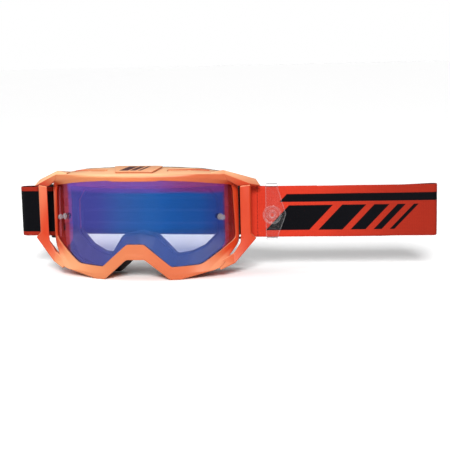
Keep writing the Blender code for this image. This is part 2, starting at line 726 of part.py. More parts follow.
def strap_path():
    """Middle line of the webbing: (x, y, height shift), from its right end to its left end."""
    wrap = ANCHOR_Y - STRAP_FRONT_Y
    sweep = math.degrees(STRAP_SWEEP)
    fold = STRAP_RETURN_STEP / 2
    run = (STRAP_RIGHT - ANCHOR_X - STRAP_THICKNESS / 2) / math.cos(STRAP_SWEEP) - fold
    path = with_height([on_right_run(STRAP_TAIL_LENGTHS[1], STRAP_TAIL_STEP)], 0.0)
    path += with_height([on_right_run(7.0, STRAP_TAIL_STEP)], 0.0)
    path += with_height(arc_points((ANCHOR_X, ANCHOR_Y), (wrap, wrap), 80, 270, 8), 0.0)
    path += with_height([on_right_run(6.0, 0.0), on_right_run(40.0, 0.0)], 0.0)
    centre = on_right_run(run, fold)
    turn = arc_points(centre, (fold, fold), sweep - 90, sweep + 90, 8)
    path += with_height(turn, STRAP_LIFT)
    path += with_height([on_right_run(118.0, STRAP_RETURN_STEP)], STRAP_SAG * 0.8)
    path += with_height([on_right_run(28.0, STRAP_RETURN_STEP)], STRAP_SAG)
    bend = ((STRAP_REAR_X + 8, STRAP_REAR_Y - 3.6), (STRAP_REAR_X, STRAP_REAR_Y - 0.4))
    path += with_height(bend, STRAP_SAG)
    path += with_height([(STRAP_REAR_X - 8, STRAP_REAR_Y)], STRAP_SAG)
    fold = (STRAP_REAR_Y - STRAP_FRONT_Y) / 2
    centre = (STRAP_LEFT + STRAP_THICKNESS / 2 + fold, STRAP_FRONT_Y + fold)
    turn = arc_points(centre, (fold, fold), 90, 270, 12)
    path += [(x, y, STRAP_SAG * (1 - k / 12)) for k, (x, y) in enumerate(turn)]
    path += with_height(arc_points((-ANCHOR_X, ANCHOR_Y), (wrap, wrap), -90, 100, 8), 0.0)
    tail_y = STRAP_FRONT_Y + STRAP_TAIL_STEP
    ends = [(-ANCHOR_X - 6, tail_y), (-ANCHOR_X - STRAP_TAIL_LENGTHS[0], tail_y)]
    return path + with_height(ends, 0.0)


def make_strap(mat, home):
    path = strap_path()
    half = STRAP_THICKNESS / 2
    sections = []
    for i, (x, y, shift) in enumerate(path):
        before = Vector(path[max(i - 1, 0)][:2])
        after = Vector(path[min(i + 1, len(path) - 1)][:2])
        here = Vector((x, y))
        ways = [(b - a).normalized() for a, b in ((before, here), (here, after)) if (b - a).length]
        way = sum(ways, Vector((0.0, 0.0))).normalized()
        side = Vector((-way.y, way.x)) * half / max(way.dot(ways[0]), 0.5)
        low = STRAP_BOTTOM + shift
        high = STRAP_TOP + shift
        sections.append([
            (x + side.x, y + side.y, low), (x + side.x, y + side.y, high),
            (x - side.x, y - side.y, high), (x - side.x, y - side.y, low),
        ])
    return add_object("strap", capped_loft("strap", sections), mat, home)


def make_grip_lines(mat, home):
    """Silicone lines on the face of the back run that lies against the helmet."""
    back = STRAP_REAR_Y - STRAP_THICKNESS / 2 - GRIP_GAP
    for number, z in enumerate(GRIP_HEIGHTS, 1):
        name = f"strap_grip_line_{number}"
        low = (GRIP_SPAN[0], back - GRIP_THICKNESS, z - GRIP_WIDTH / 2)
        high = (GRIP_SPAN[1], back, z + GRIP_WIDTH / 2)
        add_object(name, hull(name, block(low, high)), mat, home)


def make_anchors(mat, home, cutters):
    for side, word in ((-1, "left"), (1, "right")):
        name = f"strap_anchor_{word}"
        outer = [(ANCHOR_RADIUS, ANCHOR_BOTTOM), (ANCHOR_RADIUS, ANCHOR_TOP)]
        profile = [(0, ANCHOR_BOTTOM), *outer, (0, ANCHOR_TOP)]
        anchor = add_object(name, turned(name, profile, 16), mat, home)
        anchor.data.transform(Matrix.Translation(Vector((side * ANCHOR_X, ANCHOR_Y, 0)) * MM))
        for arm in anchor_solid(side, mat, cutters, 0.0):
            boolean(anchor, arm, "UNION")


# ------------------------------------------------------------------ adjuster


def make_adjuster(mat, button_mat, home, cutters):
    """A clear slider: shaped front plate, loops over both strap edges, bar behind."""
    low = STRAP_BOTTOM - 2 * GAP
    high = STRAP_TOP + 2 * GAP
    left = ADJUSTER_ALONG - ADJUSTER_LOOP_WIDTH / 2
    right = ADJUSTER_ALONG + ADJUSTER_LOOP_WIDTH / 2
    outline = [
        (left, high + ADJUSTER_WRAP), (left, low - ADJUSTER_WRAP), (right, low - ADJUSTER_WRAP),
        (right + 1.2, low + 4), (ADJUSTER_APEX_ALONG, ADJUSTER_APEX_Z), (right + 1.2, high - 4),
        (right, high + ADJUSTER_WRAP),
    ]
    plate_back = ADJUSTER_FRONT + ADJUSTER_PLATE
    mesh = prism("strap_adjuster", outline, ADJUSTER_FRONT, plate_back, 1)
    body = bevelled(add_object("strap_adjuster", mesh, mat, home), 0.4, 1)
    rear = ADJUSTER_REAR + ADJUSTER_BAR
    for start, end in ((low - ADJUSTER_WRAP, low), (high, high + ADJUSTER_WRAP)):
        loop = hull("loop", block((left + 0.5, ADJUSTER_FRONT + 0.5, start), (right - 0.5, rear, end)))
        boolean(body, add_object("loop", loop, mat, cutters), "UNION")
    bar = hull("bar", block((left + 2, ADJUSTER_REAR, low - 1), (right - 2, rear - 0.2, high + 1)))
    boolean(body, add_object("bar", bar, mat, cutters), "UNION")
    outline = circle(BUTTON_STEM_RADIUS + GAP, 0.0, 20)
    outline = [(BUTTON_ALONG + x, ADJUSTER_APEX_Z + z) for x, z, _ in outline]
    hole = prism("hole", outline, ADJUSTER_FRONT - 1, plate_back + 1, 1)
    boolean(body, add_object("hole", hole, mat, cutters), "DIFFERENCE")
    button = add_object("adjuster_button", button_mesh(), button_mat, home)
    aim(button, (BUTTON_ALONG, ADJUSTER_FRONT - GAP, ADJUSTER_APEX_Z), (0, -1, 0))
    x, y = on_right_run(0.0, 0.0)
    swing = Matrix.Translation(Vector((x, y, 0)) * MM) @ Matrix.Rotation(STRAP_SWEEP, 4, "Z")
    for piece in (body, button):
        piece.matrix_world = swing @ piece.matrix_world
    return body


def button_mesh():
    """Round button with a raised rim, a ring round a domed middle, and a stem behind."""
    stem = ADJUSTER_PLATE
    profile = [
        (0, -stem), (BUTTON_STEM_RADIUS, -stem), (BUTTON_STEM_RADIUS, 0), (BUTTON_RADIUS - 0.5, 0),
        (BUTTON_RADIUS, 0.5), (BUTTON_RADIUS, 1.1), (BUTTON_RADIUS - 0.5, 1.6), (BUTTON_RADIUS - 1.4, 1.6),
        (BUTTON_RADIUS - 1.8, 1.0), (4.4, 1.0), (4.0, 1.5), (3.0, 1.5), (2.6, 1.0),
        (1.7, 1.1), (1.2, 1.7), (0, 1.9),
    ]
    return turned("adjuster_button", profile, 28)


# ------------------------------------------------------------------ assembly


def round_shading(home):
    """Smooth shading that keeps edges sharper than 30 degrees."""
    for obj in home.objects:
        if obj.type == "MESH":
            shape = bmesh.new()
            shape.from_mesh(obj.data)
            for face in shape.faces:
                face.smooth = True
            for edge in shape.edges:
                edge.smooth = edge.calc_face_angle(math.pi) < math.radians(30)
            shape.to_mesh(obj.data)
            shape.free()


def centre_on_row_origin(home):
    """Hangs every piece from one empty, which puts the bottom centre of the whole at the origin."""
    bpy.context.view_layer.update()
    corners = [obj.matrix_world @ v.co for obj in home.objects for v in obj.data.vertices]
    low = Vector([min(c[i] for c in corners) for i in range(3)])
    high = Vector([max(c[i] for c in corners) for i in range(3)])
    middle = (low + high) / 2
    root = bpy.data.objects.new("goggles_root", None)
    home.objects.link(root)
    for obj in list(home.objects):
        if obj is not root:
            obj.parent = root
    root.location = (-middle.x, -middle.y, -low.z)


def main():
    clear_scene()
    home = collection("motocross_goggles")
    cutters = collection("cutters")
    cutters.hide_render = True
    orange = material("orange_plastic", (0.9, 0.2, 0.04), 0.5)
    deep_orange = material("orange_badge", (0.95, 0.27, 0.07), 0.4)
    clear = material("clear_plastic", (0.85, 0.88, 0.9), 0.15, alpha=0.35)
    bright = material("clear_button", (0.9, 0.92, 0.95), 0.1, alpha=0.5)
    mirror = material("blue_mirror_lens", (0.05, 0.15, 0.5), 0.08, 0.6, alpha=0.6)
    bead = material("post_bead", (0.8, 0.8, 0.8), 0.2)
    washer = material("washer_plastic", (0.1, 0.1, 0.1), 0.4)
    dark = material("black_plastic", (0.02, 0.02, 0.02), 0.5)
    filter_foam = material("filter_foam", (0.02, 0.02, 0.02), 0.95)
    layers = [
        material("foam_firm", (0.03, 0.03, 0.03), 0.95),
        material("foam_soft", (0.02, 0.02, 0.02), 0.95),
        material("fleece", (0.01, 0.01, 0.01), 1.0),
    ]
    webbing = material("strap_webbing", (0.7, 0.07, 0.02), 0.85)
    silicone = material("grip_silicone", (0.1, 0.02, 0.02), 0.35)
    make_frame(orange, home, cutters, dark)
    make_badge(deep_orange, home, cutters)
    make_lens(mirror, home, cutters)
    make_posts(bead, washer, home)
    make_face_foam(layers, home)
    make_vent_filters(filter_foam, home)
    make_strap(webbing, home)
    make_grip_lines(silicone, home)
    make_anchors(dark, home, cutters)
    make_adjuster(clear, bright, home, cutters)
    round_shading(home)
    centre_on_row_origin(home)


main()
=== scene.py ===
"""The looks of a pair of motocross goggles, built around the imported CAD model.

Unless a comment says otherwise, lengths below are in millimetres from the goggles' own middle:
x from the middle plane, y from the front of the lens, z from the floor. at() turns such a point
into the row frame, which is in metres.
"""

import math

import bmesh
import bpy
import numpy as np
from mathutils import Matrix, Vector
from mathutils.bvhtree import BVHTree


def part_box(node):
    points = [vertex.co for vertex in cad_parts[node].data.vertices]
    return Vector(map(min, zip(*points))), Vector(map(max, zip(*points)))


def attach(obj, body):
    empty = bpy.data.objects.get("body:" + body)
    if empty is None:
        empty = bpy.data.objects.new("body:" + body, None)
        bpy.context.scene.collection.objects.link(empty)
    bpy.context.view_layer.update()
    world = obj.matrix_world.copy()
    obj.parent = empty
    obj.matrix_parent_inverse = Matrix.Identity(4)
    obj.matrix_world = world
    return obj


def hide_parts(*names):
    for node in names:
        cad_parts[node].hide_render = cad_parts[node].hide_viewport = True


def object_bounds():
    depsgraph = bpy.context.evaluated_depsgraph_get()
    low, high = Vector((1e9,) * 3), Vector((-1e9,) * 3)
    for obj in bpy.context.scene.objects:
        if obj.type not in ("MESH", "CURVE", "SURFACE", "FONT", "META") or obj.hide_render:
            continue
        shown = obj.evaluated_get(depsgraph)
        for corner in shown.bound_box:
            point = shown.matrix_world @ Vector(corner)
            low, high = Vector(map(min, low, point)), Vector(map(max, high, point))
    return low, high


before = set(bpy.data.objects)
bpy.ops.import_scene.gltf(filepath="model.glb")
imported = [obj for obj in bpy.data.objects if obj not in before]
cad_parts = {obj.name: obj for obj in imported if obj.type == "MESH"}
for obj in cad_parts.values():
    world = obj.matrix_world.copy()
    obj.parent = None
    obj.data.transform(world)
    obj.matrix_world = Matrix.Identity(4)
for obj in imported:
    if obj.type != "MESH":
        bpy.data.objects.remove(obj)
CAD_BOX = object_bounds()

MM = 0.001
SCENE = bpy.context.scene

LENS_LOW, LENS_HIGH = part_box("lens")
MIDDLE = (LENS_LOW.x + LENS_HIGH.x) / 2
FRONT = LENS_LOW.y

# The camera aims a little off the middle of the whole object's box.
CAMERA_AIM = (4.7, 8.0, -6.2)
CAMERA_YAW, CAMERA_PITCH, CAMERA_ROLL = 10.25, 8.6, -1.3
CAMERA_DISTANCE = 967.0
CAMERA_LENS = 87.84

# The strap's route, repeated from the CAD source.
STRAP_BOTTOM, STRAP_TOP = 30.5, 75.5
STRAP_THICKNESS = 1.6
STRAP_LEFT, STRAP_RIGHT = -122.0, 254.7
STRAP_FRONT_Y, STRAP_REAR_Y, STRAP_REAR_X = 49.9, 69.3, 90.0
STRAP_SWEEP = math.radians(4.1)
STRAP_TAIL_STEP, STRAP_RETURN_STEP = 1.9, 7.0
STRAP_TAILS = (14.0, 60.0)
STRAP_SAG, STRAP_LIFT = -1.2, 0.6
ANCHOR_X, ANCHOR_Y = 91.2, 52.8
STRAP_WIDTH = STRAP_TOP - STRAP_BOTTOM

# The sky's brightness below and above, the sun's power, angles and spread, and the soft lamp and
# the floor, whose sizes and places are in metres of the row frame. FLOOR_SEEN is the colour that
# only the camera sees.
WORLD_LOW, WORLD_HIGH = 0.05, 0.42
KEY_POWER, KEY_ELEVATION, KEY_AZIMUTH, KEY_SPREAD = 3.3, 30.5, 7.0, 20.0
FILL_POWER, FILL_WIDE, FILL_HIGH = 5.0, 1.2, 0.9
FILL_PLACE, FILL_AIM = (-0.9, -0.1, 1.2), (0.0, 0.05, 0.04)
FLOOR_HALF = 30.0
FLOOR_SEEN = (1.24, 1.24, 1.24)

LENS_RADIUS = 109.0

# The foam's swelling takes this many frames. Its lumps are three waves: (per metre, phase).
SWELL_FRAMES = 12
LUMP_WAVES = (
    ((310.0, 120.0, 260.0), 0.3), ((-170.0, 260.0, 390.0), 1.9), ((520.0, -310.0, 140.0), 4.1),
)

# The black painted shade behind the lens ends this far to the sides and this high, and is unbroken
# this close to the middle or to the floor.
PAINTED_SHADE_SIDE, PAINTED_SHADE_TOP, PAINTED_SHADE_WHOLE = 70.0, 76.6, 36.0

# The sewn ends' upright rows of stitches: how far each is from its anchor, how many stitches it
# has, the length and radius of one thread, and its rings (share of the length, of the radius).
STITCH_ROWS_RIGHT, STITCH_ROWS_LEFT = (7.6, 10.2, 57.0), (6.4, 9.0)
STITCHES, STITCH_LENGTH, STITCH_RADIUS = 15, 2.3, 0.3
THREAD_SIDES = 6
THREAD_RINGS = ((-0.5, 0.3), (-0.3, 0.85), (0.0, 1.0), (0.3, 0.85), (0.5, 0.3))

# How much painted light the frame gets where it faces up, the colour of that painted light, and
# the colour of the painted light on its front rim; then the plastic's and the webbing's own
# colours, and clear plastic's colour where its rims get a painted highlight, with the share of
# that colour on its flats.
PAINTED_LIGHT_SHARE = 0.95
PEACH = (1.0, 0.56, 0.30)
PAINTED_FRONT_LIGHT = (0.75, 0.58, 0.24)
ORANGE = (0.53, 0.034, 0.005)
ORANGE_LIGHT = (0.57, 0.048, 0.009)
STRAP_RED = (0.47, 0.028, 0.012)
STRAP_RED_LIGHT = (0.56, 0.038, 0.017)
CLEAR = (0.94, 0.94, 0.95)
CLEAR_SHADE = 0.5

# The lens coat's colours from one end of the lens to the other, as shares of the way from
# FILM_REACH left of the middle to FILM_REACH right of it: blues that are partly the film's own hue
# and partly painted reflection, and dark red ends that are painted shade of the orange frame
# behind them.
FILM_REACH = 80.0
FILM_AND_PAINTED_COLOURS = (
    (0.02, (0.40, 0.006, 0.008)), (0.088, (0.40, 0.008, 0.02)), (0.098, (0.09, 0.07, 0.50)),
    (0.27, (0.09, 0.09, 0.56)), (0.42, (0.05, 0.17, 0.66)), (0.56, (0.016, 0.18, 0.68)),
    (0.68, (0.0, 0.15, 0.64)), (0.84, (0.003, 0.13, 0.60)), (0.95, (0.03, 0.05, 0.40)),
    (0.96, (0.34, 0.006, 0.03)), (0.98, (0.32, 0.004, 0.010)),
)

# The plain bars that stand for print. On the badge: (middle, half width), round BADGE_Y and this
# far to its front and rear.
BADGE_BARS = ((-7.0, 4.0), (1.0, 2.6), (7.0, 1.4))
BADGE_Y, BADGE_BAR_REACH, BADGE_SLANT = 13.0, 6.4, 0.45

# On the strap's outer face: where each bar starts and ends along the right run, and the heights
# above the strap's lower edge of the bars, of the stripe and of the rear run's one block, which
# starts and ends this far past the right fold and the left anchor.
STRAP_BARS = ((14.5, 53.0), (61.0, 82.0), (89.0, 102.0), (109.0, 116.0), (123.0, 127.0))
STRAP_BAR_LOW, STRAP_BAR_HIGH = 6.0, 28.0
STRAP_STRIPE_START, STRAP_STRIPE_LOW, STRAP_STRIPE_HIGH = 27.0, 31.0, 38.0
STRAP_BLOCK_START, STRAP_BLOCK_END, STRAP_BLOCK_LOW, STRAP_BLOCK_HIGH = 42.0, 30.0, 3.9, 41.1
STRAP_SLANT, STRAP_BLOCK_SLANT = 0.95, 0.6


def at(x, y, z):
    return Vector((MIDDLE + x * MM, FRONT + y * MM, z * MM))


# ------------------------------------------------------------------ node graphs


class Graph:
    """A material's node tree, with short ways to add what the materials share."""

    def __init__(self, name):
        self.material = bpy.data.materials.new(name)
        self.material.use_nodes = True
        self.tree = self.material.node_tree
        self.shader = self.tree.nodes["Principled BSDF"]
        self.here = self.node("TexCoord").outputs["Object"]

    def node(self, kind, **settings):
        made = self.tree.nodes.new("ShaderNode" + kind)
        for key, value in settings.items():
            setattr(made, key, value)
        return made

    def feed(self, socket, value):
        if isinstance(value, bpy.types.NodeSocket):
            self.tree.links.new(value, socket)
        elif isinstance(value, tuple) and len(value) == 3 and socket.type == "RGBA":
            socket.default_value = (*value, 1.0)
        else:
            socket.default_value = value

    def set(self, **inputs):
        for key, value in inputs.items():
            self.feed(self.shader.inputs[key.replace("_", " ")], value)

    def math(self, operation, *values, clamp=False):
        made = self.node("Math", operation=operation, use_clamp=clamp)
        for socket, value in zip(made.inputs, values):
            self.feed(socket, value)
        return made.outputs[0]

    def split(self, vector):
        made = self.node("SeparateXYZ")
        self.feed(made.inputs[0], vector)
        return made.outputs

    def from_middle(self):
        """(x from the middle plane, y from the lens's front, z from the floor), in millimetres."""
        x, y, z = self.split(self.here)
        across = self.math("MULTIPLY", self.math("SUBTRACT", x, MIDDLE), 1 / MM)
        back = self.math("MULTIPLY", self.math("SUBTRACT", y, FRONT), 1 / MM)
        return across, back, self.math("MULTIPLY", z, 1 / MM)

    def scaled(self, scale, vector=None):
        made = self.node("Mapping")
        self.feed(made.inputs["Vector"], vector or self.here)
        made.inputs["Scale"].default_value = scale
        return made.outputs[0]

    def noise(self, scale, detail=3.0, roughness=0.5, vector=None):
        made = self.node("TexNoise")
        self.feed(made.inputs["Vector"], vector or self.here)
        made.inputs["Scale"].default_value = scale
        made.inputs["Detail"].default_value = detail
        made.inputs["Roughness"].default_value = roughness
        return made.outputs["Fac"]

    def cells(self, scale):
        made = self.node("TexVoronoi")
        self.feed(made.inputs["Vector"], self.here)
        made.inputs["Scale"].default_value = scale
        return made.outputs["Distance"]

    def span(self, value, low, high, to_low=0.0, to_high=1.0, smooth=True):
        made = self.node("MapRange", interpolation_type="SMOOTHSTEP" if smooth else "LINEAR")
        for socket, given in zip(made.inputs, (value, low, high, to_low, to_high)):
            self.feed(socket, given)
        return made.outputs[0]

    def mix(self, share, first, second, blend="MIX"):
        made = self.node("Mix", data_type="RGBA", blend_type=blend)
        for index, value in ((0, share), (6, first), (7, second)):
            self.feed(made.inputs[index], value)
        return made.outputs[2]

    def grey(self, value):
        made = self.node("CombineColor")
        for socket in made.inputs:
            self.feed(socket, value)
        return made.outputs[0]

    def ramp(self, value, stops):
        made = self.node("ValToRGB")
        self.feed(made.inputs[0], value)
        marks = made.color_ramp.elements
        while len(marks) < len(stops):
            marks.new(0.5)
        for mark, (place, colour) in zip(marks, stops):
            mark.position = place
            mark.color = (*colour, 1.0)
        return made.outputs[0]

    def bump(self, height, distance, strength=1.0, normal=None):
        made = self.node("Bump")
        made.inputs["Strength"].default_value = strength
        made.inputs["Distance"].default_value = distance
        self.feed(made.inputs["Height"], height)
        if normal is not None:
            self.feed(made.inputs["Normal"], normal)
        return made.outputs[0]

    def soft_edges(self, radius):
        made = self.node("Bevel", samples=4)
        made.inputs["Radius"].default_value = radius
        return made.outputs[0]

    def edge_mask(self, rounded):
        """About 1 on the model's sharp edges and 0 on its flats."""
        plain = self.node("NewGeometry").outputs["Normal"]
        dot = self.node("VectorMath", operation="DOT_PRODUCT")
        self.feed(dot.inputs[0], rounded)
        self.feed(dot.inputs[1], plain)
        return self.span(dot.outputs["Value"], 0.995, 0.86)


def painted_top_light(g, colour, share):
    """The colour with painted light: paler the more a surface faces up, and left, and the higher
    it is, and paler on the front rim of the frame, more at its left end.
    """
    side, _, up = g.split(g.node("NewGeometry").outputs["Normal"])
    up = g.math("SUBTRACT", up, g.math("MULTIPLY", side, 0.3))
    patchy = g.span(g.noise(18.0, 3.0), 0.3, 0.7, 0.85, 1.0)
    across, back, height = g.from_middle()
    front = g.span(back, 29.0, 20.0, 0.0, g.span(across, -40.0, 50.0, 0.30, 0.17))
    lit = g.span(up, 0.08, 0.8, 0.0, share, smooth=False)
    top = g.math("MULTIPLY", lit, g.span(height, 40.0, 65.0, 0.4, 1.0))
    colour = g.mix(g.math("MULTIPLY", front, patchy), colour, PAINTED_FRONT_LIGHT)
    return g.mix(g.math("MULTIPLY", top, patchy), colour, PEACH)


def moulded_plastic(name, dark, light, roughness=0.42, grain=0.00004, edge=0.0007, wear_and_highlight=0.35,
                    painted_light=0.0):
    """Satin moulded plastic: cloudy colour, fine spark-eroded grain, edges paler partly from
    rubbing and partly as a painted highlight.
    """
    g = Graph(name)
    cloud = g.noise(28.0, 3.0)
    grainy = g.noise(1900.0, 2.0, 0.6)
    rounded = g.soft_edges(edge)
    uneven = g.span(g.noise(160.0, 4.0), 0.3, 0.7, 0.35, 1.0)
    rubbed_and_highlit = g.math("MULTIPLY", g.edge_mask(rounded), uneven)
    colour = g.mix(g.span(cloud, 0.3, 0.72), dark, light)
    # Painted light where the surface faces up and on the frame's front rim.
    if painted_light:
        colour = painted_top_light(g, colour, painted_light)
    paler = tuple(min(c * 1.12 + 0.05, 1.0) for c in light)
    # Paler edges: partly from rubbing, partly a painted highlight.
    colour = g.mix(g.math("MULTIPLY", rubbed_and_highlit, wear_and_highlight), colour, paler)
    g.set(Base_Color=colour, Specular_IOR_Level=0.35)
    smear = g.span(g.noise(75.0, 4.0, 0.6), 0.35, 0.7, roughness - 0.05, roughness + 0.08)
    g.set(Roughness=g.math("SUBTRACT", smear, g.math("MULTIPLY", rubbed_and_highlit, 0.08)))
    g.set(Normal=g.bump(grainy, grain, 0.8, rounded))
    return g.material


def frame_material():
    return moulded_plastic("frame_orange", ORANGE, ORANGE_LIGHT, painted_light=PAINTED_LIGHT_SHARE)


def seat_material():
    """The frame behind the lens: orange at the top and the ends, elsewhere black as painted shade;
    near the middle the orange is a brighter copy of the frame's own, as painted light.
    """
    g = Graph("frame_seat")
    across, back, height = g.from_middle()
    to_lens = g.node("CombineXYZ")
    g.feed(to_lens.inputs[0], across)
    g.feed(to_lens.inputs[1], g.math("SUBTRACT", back, LENS_RADIUS))
    way = g.node("VectorMath", operation="NORMALIZE")
    g.feed(way.inputs[0], to_lens.outputs[0])
    facing = g.node("VectorMath", operation="DOT_PRODUCT")
    g.feed(facing.inputs[0], way.outputs[0])
    g.feed(facing.inputs[1], g.node("NewGeometry").outputs["True Normal"])
    sideways = g.math("ABSOLUTE", across)
    # Painted shade: black on the faces that look towards the lens, and on all of them near the
    # middle or the floor, below the top and inside the ends.
    whole = [g.span(value, PAINTED_SHADE_WHOLE + 4.0, PAINTED_SHADE_WHOLE) for value in (sideways, height)]
    towards_lens = g.span(facing.outputs["Value"], 0.08, 0.14)
    painted_shade = g.math("MAXIMUM", towards_lens, g.math("MAXIMUM", *whole))
    painted_shade = g.math("MULTIPLY", painted_shade, g.span(height, PAINTED_SHADE_TOP + 0.6, PAINTED_SHADE_TOP))
    painted_shade = g.math("MULTIPLY", painted_shade, g.span(sideways, PAINTED_SHADE_SIDE + 0.6, PAINTED_SHADE_SIDE))
    grain = g.noise(1400.0, 3.0, 0.6)
    cloud = g.span(g.noise(60.0, 3.0), 0.3, 0.7)
    # Painted light: within about 62 mm of the middle the orange is a brighter copy of the frame's
    # own; the end walls keep about the frame's own orange.
    port = g.mix(cloud, (0.85, 0.13, 0.05), (0.92, 0.19, 0.09))
    end_wall = g.mix(cloud, (0.50, 0.018, 0.006), (0.56, 0.03, 0.012))
    orange = g.mix(g.span(sideways, 62.0, 66.0), port, end_wall)
    black = g.mix(grain, (0.006, 0.005, 0.009), (0.02, 0.015, 0.024))
    g.set(Base_Color=g.mix(painted_shade, orange, black), Specular_IOR_Level=0.4)
    g.set(Roughness=g.span(cloud, 0.0, 1.0, 0.45, 0.6))
    g.set(Normal=g.bump(grain, 0.00005, 0.7, g.soft_edges(0.0005)))
    return g.material


def badge_material():
    """The brow plate, with three plain slanted bars where the real one is printed."""
    g = Graph("badge_orange")
    across, back, _ = g.from_middle()
    from_centre = g.math("SUBTRACT", back, BADGE_Y)
    leant = g.math("SUBTRACT", across, g.math("MULTIPLY", from_centre, BADGE_SLANT))
    mark = None
    for middle, half in BADGE_BARS:
        aside = g.math("ABSOLUTE", g.math("SUBTRACT", leant, middle))
        bar = g.span(aside, half + 0.15, half - 0.15)
        mark = bar if mark is None else g.math("MAXIMUM", mark, bar)
    inside = g.span(g.math("ABSOLUTE", from_centre), BADGE_BAR_REACH + 0.3, BADGE_BAR_REACH)
    mark = g.math("MULTIPLY", mark, inside)
    colour = g.mix(g.span(g.noise(60.0, 3.0), 0.3, 0.7), ORANGE, ORANGE_LIGHT)
    # Painted light where the badge faces up, a little weaker than on the frame.
    colour = painted_top_light(g, colour, 0.72 * PAINTED_LIGHT_SHARE)
    worn = g.span(g.noise(900.0, 3.0), 0.25, 0.5, 0.8, 1.0)
    g.set(Base_Color=g.mix(g.math("MULTIPLY", mark, worn), colour, (0.06, 0.012, 0.02)))
    g.set(Roughness=g.span(g.noise(120.0, 3.0), 0.3, 0.7, 0.3, 0.4))
    rounded = g.soft_edges(0.0005)
    g.set(Normal=g.bump(g.noise(1900.0, 2.0), 0.00003, 0.7, rounded))
    return g.material


def lens_coat_material():
    """Blue mirror film on the outer face with painted reflection, a violet top painted in for the
    frame wall seen through it, dark red ends of painted shade, and painted light low in the
    middle.
    """
    g = Graph("lens_mirror_coat")
    across, _, height = g.from_middle()
    cloud = g.noise(14.0, 2.0, vector=g.scaled((1.0, 1.0, 0.25)))
    drift = g.math("MULTIPLY", g.math("SUBTRACT", cloud, 0.5), 14.0)
    middle = g.span(g.math("ABSOLUTE", across), 64.0, 50.0)
    drifted = g.math("ADD", across, g.math("MULTIPLY", drift, middle))
    place = g.span(drifted, -FILM_REACH, FILM_REACH, smooth=False)
    # Painted reflection and shade: the ramp's lighter and darker blues are partly the film's own
    # hue and partly painted reflection, and its dark red ends are painted shade of the orange
    # frame behind.
    colour = g.ramp(place, FILM_AND_PAINTED_COLOURS)
    top = g.math("ADD", height, g.math("MULTIPLY", drift, 0.1))
    top = g.span(g.math("ADD", top, g.span(across, 40.0, 64.0, 0.0, 2.0)), 74.2, 77.4)
    ends = g.math("ADD", g.span(across, -64.5, -66.5), g.span(across, 72.5, 74.5))
    between_ends = g.math("SUBTRACT", 1.0, ends)
    # Painted in: the violet along the top stands for the frame's top wall seen through the lens.
    painted_top_wall = g.math("MULTIPLY", g.math("MULTIPLY", top, 0.75), between_ends)
    # Painted light: a lighter, paler blue low on the lens, where light shows through it.
    painted_glow = g.math("MULTIPLY", g.span(height, 44.0, 34.0, 0.0, 0.3), between_ends)
    colour = g.mix(painted_glow, colour, (0.36, 0.34, 1.0))
    violet = g.mix(g.span(across, 5.0, 50.0), (0.27, 0.10, 0.72), (0.42, 0.01, 0.26))
    colour = g.mix(painted_top_wall, colour, violet)
    smudge = g.noise(55.0, 5.0, 0.65)
    colour = g.mix(0.1, colour, g.mix(smudge, (0.0, 0.05, 0.36), (0.14, 0.36, 0.95)))
    g.set(Base_Color=colour, Metallic=0.95, Specular_IOR_Level=0.5)
    g.set(Roughness=g.span(smudge, 0.35, 0.75, 0.07, 0.17))
    low = g.span(height, 40.0, 47.0, 0.44, 0.56)
    g.set(Alpha=g.math("ADD", low, g.math("MULTIPLY", ends, -0.04)))
    g.set(Coat_Weight=0.12, Coat_Roughness=0.06)
    return g.material


def lens_body_material():
    """The polycarbonate behind the film and its cut edge, faintly smoked."""
    g = Graph("lens_clear_body")
    haze = g.noise(90.0, 4.0, 0.6)
    g.set(Base_Color=g.mix(haze, (0.36, 0.34, 0.40), (0.55, 0.52, 0.60)), Specular_IOR_Level=0.5)
    g.set(Roughness=g.span(haze, 0.3, 0.7, 0.05, 0.12))
    g.set(Alpha=0.045)
    return g.material


def clear_material(name, tint, body, rim, roughness=0.08, caps=0.0):
    """Clear moulded plastic: nearly see-through when faced, whitish along its rims as a painted
    highlight, most where the surface turns away from the view, and, where caps is given, where it
    stands out past the strap's edges."""
    g = Graph(name)
    rounded = g.soft_edges(0.0005)
    edge = g.edge_mask(rounded)
    facing = g.node("LayerWeight")
    facing.inputs["Blend"].default_value = 0.35
    # Painted highlight: whiter and more opaque along the edges and where the surface turns from
    # the view.
    painted_rim_highlight = g.math("MAXIMUM", g.math("MULTIPLY", edge, 0.8), facing.outputs["Facing"])
    flow = g.noise(140.0, 3.0, vector=g.scaled((1.0, 1.0, 0.4)))
    body_tint = tuple(c * CLEAR_SHADE for c in tint)
    whitish = g.math("MAXIMUM", painted_rim_highlight, g.span(flow, 0.3, 0.7, 0.0, 0.1))
    alpha = g.math("ADD", g.math("MULTIPLY", painted_rim_highlight, rim), body, clamp=True)
    if caps:
        middle = (STRAP_BOTTOM + STRAP_TOP) / 2
        aside = g.math("ABSOLUTE", g.math("SUBTRACT", g.from_middle()[2], middle))
        cap = g.span(aside, 22.8, 23.3)
        whitish = g.math("MAXIMUM", whitish, cap)
        alpha = g.math("MAXIMUM", alpha, g.math("MULTIPLY", cap, caps))
    g.set(Base_Color=g.mix(whitish, body_tint, tint), Alpha=alpha)
    g.set(Roughness=g.span(flow, 0.3, 0.7, roughness, roughness + 0.08), Specular_IOR_Level=0.65)
    g.set(Normal=g.bump(flow, 0.0001, 0.3, rounded))
    return g.material


def rubber_material(name, dark, light, roughness=0.6):
    g = Graph(name)
    dust = g.noise(500.0, 4.0, 0.7)
    rounded = g.soft_edges(0.0003)
    g.set(Base_Color=g.mix(g.span(dust, 0.35, 0.75), dark, light))
    g.set(Roughness=g.span(g.noise(90.0), 0.3, 0.7, roughness - 0.1, roughness + 0.1))
    g.set(Normal=g.bump(dust, 0.00005, 0.6, rounded))
    return g.material


